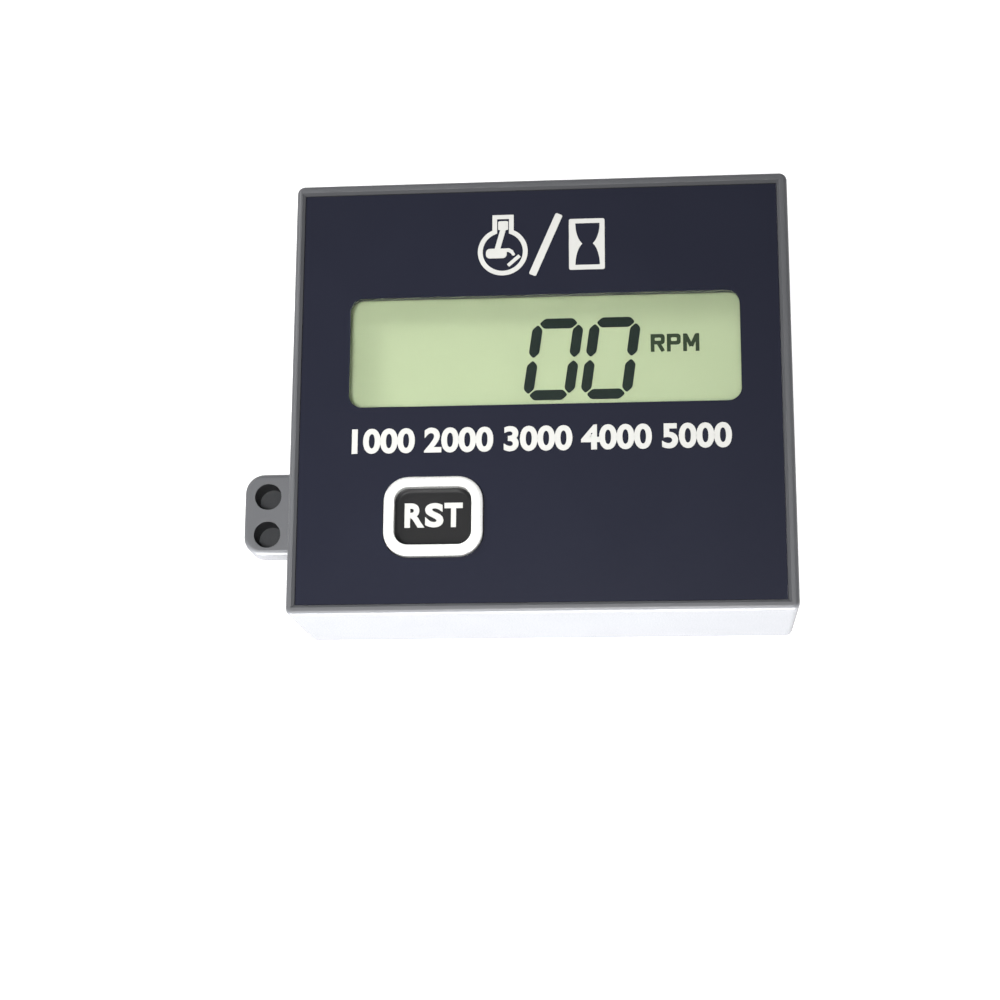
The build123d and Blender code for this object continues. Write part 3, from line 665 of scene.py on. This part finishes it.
def along(bm, start, end):
    """Lays a stroke, drawn along X about its own middle, so that it runs between two places."""
    run = Vector(end) - Vector(start)
    middle = (Vector(start) + Vector(end)) / 2
    place = Matrix.Translation((middle.x, middle.y, 0)) @ Matrix.Rotation(math.atan2(run.y, run.x), 4, "Z")
    bmesh.ops.transform(bm, matrix=place, verts=bm.verts)
    return bm


def bar(start, end, width, corner=0.0):
    """A stroke with square ends, or with its corners rounded."""
    bm = bmesh.new()
    bmesh.ops.create_grid(bm, x_segments=1, y_segments=1, size=0.5)
    bmesh.ops.scale(bm, vec=((Vector(end) - Vector(start)).length, width, 1), verts=bm.verts)
    if corner:
        ease(bm, bm.verts[:], corner, 5, "VERTICES")
    return along(lift(bm), start, end)


def capsule(start, end, width, steps=24):
    """A stroke with round ends."""
    bm = bmesh.new()
    half_step = Matrix.Rotation(math.pi / steps, 4, "Z")
    bmesh.ops.create_circle(bm, cap_ends=True, radius=width / 2, segments=steps, matrix=half_step)
    half_run = (Vector(end) - Vector(start)).length / 2
    bmesh.ops.translate(bm, verts=[v for v in bm.verts if v.co.x > 0], vec=(half_run, 0, 0))
    bmesh.ops.translate(bm, verts=[v for v in bm.verts if v.co.x < 0], vec=(-half_run, 0, 0))
    return along(lift(bm), start, end)


def oval(at, across, up, steps=72, keep=None):
    """A filled circle or oval, or the half of it above (1) or below (-1) its middle."""
    bm = bmesh.new()
    bmesh.ops.create_circle(bm, cap_ends=True, radius=1, segments=steps)
    if keep:
        for vert in bm.verts:
            vert.co.y = keep * max(keep * vert.co.y, 0)
    bmesh.ops.scale(bm, vec=(across, up, 1), verts=bm.verts)
    bmesh.ops.translate(bm, verts=bm.verts, vec=(*at, 0))
    return lift(bm)


def cutting(bm):
    """The same shape, taller than the print, to cut through it."""
    bmesh.ops.scale(bm, vec=(1, 1, 3), verts=bm.verts)
    bmesh.ops.translate(bm, verts=bm.verts, vec=(0, 0, -1))
    return bm


def printed(bm, name, height, material=white_ink):
    """A print, laid on its surface."""
    bmesh.ops.dissolve_limit(bm, angle_limit=SAME_PLANE / 2, verts=bm.verts, edges=bm.edges)
    laid = Matrix.Translation((0, 0, height)) @ Matrix.Diagonal((MM, MM, INK_THICKNESS, 1))
    bmesh.ops.transform(bm, matrix=laid, verts=bm.verts)
    return piece_from(bm, name, material, "housing")


def lettering(name, letters, bottom, top, height, weight, body="housing"):
    """White letters in the plain built-in face, each run as (letters, left, right), between two lines.

    Places on the face are in mm, the surface's height is in metres, and weight thickens the strokes."""
    bm = bmesh.new()
    for words, left, right in letters:
        curve = bpy.data.curves.new(name, "FONT")
        curve.body = words
        curve.offset = weight
        curve.extrude = 0.5
        curve.resolution_u = 6
        text = bpy.data.objects.new(name + "_outline", curve)
        bpy.context.scene.collection.objects.link(text)
        mesh = bpy.data.meshes.new_from_object(text.evaluated_get(bpy.context.evaluated_depsgraph_get()))
        bpy.data.objects.remove(text)
        xs = [v.co.x for v in mesh.vertices]
        ys = [v.co.y for v in mesh.vertices]
        fit = Matrix.Translation((left * MM, bottom * MM, height + INK_THICKNESS / 2))
        wide = (right - left) / (max(xs) - min(xs))
        tall = (top - bottom) / (max(ys) - min(ys))
        fit @= Matrix.Diagonal((wide * MM, tall * MM, INK_THICKNESS, 1))
        mesh.transform(fit @ Matrix.Translation((-min(xs), -min(ys), 0)))
        bm.from_mesh(mesh)
        bpy.data.meshes.remove(mesh)
    bmesh.ops.remove_doubles(bm, verts=bm.verts, dist=WELD * MM)
    bmesh.ops.recalc_face_normals(bm, faces=bm.faces)
    return piece_from(bm, name, white_ink, body)


# The engine mark: a round case with a cylinder on top, the piston, its rod and the crank
CASE_AT = (-3.92, 15.42)
CASE_OUTSIDE = 2.64
CASE_INSIDE = 2.13
engine = [
    ("UNION", bar((-5.03, 18.3), (-2.77, 18.3), 2.5)),
    ("DIFFERENCE", cutting(oval(CASE_AT, CASE_INSIDE, CASE_INSIDE))),
    ("DIFFERENCE", cutting(bar((-4.53, 18.1), (-3.27, 18.1), 1.96))),
    ("UNION", bar((-4.42, 18.35), (-3.36, 18.35), 1.0, 0.15)),
    ("UNION", bar((-3.84, 18.1), (-4.52, 15.6), 0.58)),
    ("UNION", bar((-5.7, 15.24), (-3.5, 15.24), 1.08, 0.42)),
    ("UNION", capsule((-4.0, 15.56), (-3.3, 15.6), 0.4)),
    ("UNION", capsule((-3.3, 15.6), (-2.98, 15.4), 0.4)),
    ("UNION", capsule((-2.98, 15.4), (-2.8, 15.12), 0.34)),
    ("UNION", bar((-3.36, 13.86), (-2.14, 14.94), 0.38, 0.06)),
]
engine_case = oval(CASE_AT, CASE_OUTSIDE, CASE_OUTSIDE)
printed(combined(engine_case, engine), "mark_engine", OVERLAY_TOP)
printed(bar((-0.8, 12.74), (2.06, 19.48), 0.8, 0.18), "mark_stroke", OVERLAY_TOP)

# The hourglass mark: a white tablet with the glass's two bulbs left dark
glass_top = cutting(oval((5.03, 18.37), 1.28, 2.52, keep=-1))
glass_bottom = cutting(oval((5.03, 13.73), 1.28, 2.62, keep=1))
tablet = bar((3.07, 16.04), (6.83, 16.04), 5.68, 0.2)
bulbs = [("DIFFERENCE", glass_top), ("DIFFERENCE", glass_bottom)]
printed(combined(tablet, bulbs), "mark_hourglass", OVERLAY_TOP)

scale_numbers = [("1000 2000 3000 4000 5000", -19.55, 19.65)]
lettering("print_numbers", scale_numbers, -6.4, -3.7, OVERLAY_TOP, 0.035)

# The key's legend lies in the dish of the key and goes down with it
key_letters = [("R", -13.95, -11.88), ("S", -11.84, -9.92), ("T", -9.84, -7.95)]
key_top = OVERLAY_TOP - KEY_DISH
lettering("key_legend", key_letters, -14.25, -11.68, key_top, 0.042, "reset_key")

# The unit beside the digits, etched in the glass: three letters in strokes of one width
STROKE = 0.4
FOOT = 4.95
HEAD = 6.9
BOWL_CORNER = 0.34
OPENING_CORNER = 0.12


def stem(x):
    """An upright stroke of full height."""
    return bar((x, FOOT), (x, HEAD), STROKE)


def bowl(left, right, low):
    """The round part of an R or a P as its outline and its opening."""
    middle = (low + HEAD) / 2
    inside = HEAD - low - 2 * STROKE
    outline = bar((left, middle), (right, middle), HEAD - low, BOWL_CORNER)
    opening = bar((left + STROKE, middle), (right - STROKE, middle), inside, OPENING_CORNER)
    return [("UNION", outline), ("DIFFERENCE", cutting(opening))]


leg = bar((12.24, 5.98), (12.78, 4.99), STROKE)
slants = [bar((side, 6.78), (15.72, 5.5), STROKE) for side in (15.13, 16.31)]
unit = bowl(11.5, 12.95, 5.76) + [("UNION", leg)]
unit += bowl(13.2, 14.62, 5.7)
unit += [("UNION", stem(x)) for x in (13.37, 15.07, 16.37)]
unit += [("UNION", slant) for slant in slants]
printed(combined(stem(11.67), unit), "display_unit", middle_height, crystal_grey)


# Studio

def soft_light(name, at, towards, size, watts, height=None, spread=180):
    """A soft box aimed at a point. It may have a height of its own, and a grid to narrow its beam."""
    lamp = bpy.data.lights.new(name, "AREA")
    lamp.shape = "RECTANGLE"
    lamp.size = size
    lamp.size_y = height or size
    lamp.energy = watts
    lamp.spread = math.radians(spread)
    box = bpy.data.objects.new(name, lamp)
    bpy.context.scene.collection.objects.link(box)
    aim = (Vector(towards) - Vector(at)).to_track_quat("-Z", "Y")
    box.matrix_world = Matrix.Translation(at) @ aim.to_matrix().to_4x4()
    return box


# The main box has a grid and hangs near the camera's direction.
# The left one throws the shadow of the window's left edge on the display
soft_light("soft_box_main", (0.0, -0.12, 0.41), (-0.025, -0.03, 0.015), 0.08, 0.097, spread=38)
soft_light("soft_box_left", (-0.5, 0.34, 0.52), (0, 0, 0.015), 0.28, 2.4)
# One box shows the cover from below, and the strip whitens the lower wall
soft_light("soft_box_under", (0.15, -0.25, -0.45), (0, 0, 0), 0.3, 3.0)
soft_light("strip_light_low", (-0.01, -0.15, 0.007), (0, -0.02, 0.007), 0.2, 1.5, 0.014)

FLOOR_REACH = 6
bm = bmesh.new()
bmesh.ops.create_grid(bm, x_segments=1, y_segments=1, size=FLOOR_REACH)
bmesh.ops.translate(bm, verts=bm.verts, vec=(0, 0, -FLOOR_GAP))
floor = object_of(bm, "pale_floor")
# Opal acrylic table, lit from below as for a catalogue picture: white, without shadows
glow = {"Emission Color": linear("#FFFFFF"), "Emission Strength": 0.88}
floor_paint = finish_of(
    "opal_light_table_matt",
    glow | {"Roughness": 0.9, "Specular IOR Level": 0.1},
    ("#9C9C9C", "#A0A0A0"),
    mottle=0.2,
    grain=0.003,
    depth=0.00001,
)
paint(floor, floor_paint)

# From below the table is clear, so that the meter's back can be seen
table = floor_paint.node_tree
surface = table.nodes["Principled BSDF"].outputs["BSDF"]
from_below = add(floor_paint, "NewGeometry").outputs["Backfacing"]
clear = add(floor_paint, "BsdfTransparent").outputs["BSDF"]
sides = add(floor_paint, "MixShader", links={0: from_below, 1: surface, 2: clear})
table.links.new(sides.outputs["Shader"], table.nodes["Material Output"].inputs["Surface"])
# Its glow is for the eye and for reflections, and doesn't light the meter's sides
floor.visible_diffuse = False

world = bpy.data.worlds.new("studio_air")
world.use_nodes = True
air = world.node_tree.nodes["Background"]
air.inputs["Color"].default_value = linear("#FFFFFF")
air.inputs["Strength"].default_value = 0.18
bpy.context.scene.world = world
bpy.context.scene.view_settings.view_transform = "Standard"

# Light passes the lens, the polariser and the front glass twice, and every pass counts
bpy.context.scene.cycles.transparent_max_bounces = 24

# The camera stands a little to the right of the meter and below it, looking down at its face.
# Its lens, place and turn put the face's four corners where the photograph has them
camera_data = bpy.data.cameras.new("camera")
camera_data.lens = 73.19
camera_data.sensor_width = 36
camera = bpy.data.objects.new("camera", camera_data)
bpy.context.scene.collection.objects.link(camera)
right = Vector((0.99628, 0.00412, -0.08612))
up = Vector((0.01646, 0.97139, 0.23692))
back = Vector((0.08463, -0.23746, 0.9677))
stand = Matrix.Translation((0.01351, -0.06094, 0.21595))
camera.matrix_world = stand @ Matrix((right, up, back)).transposed().to_4x4()
bpy.context.scene.camera = camera
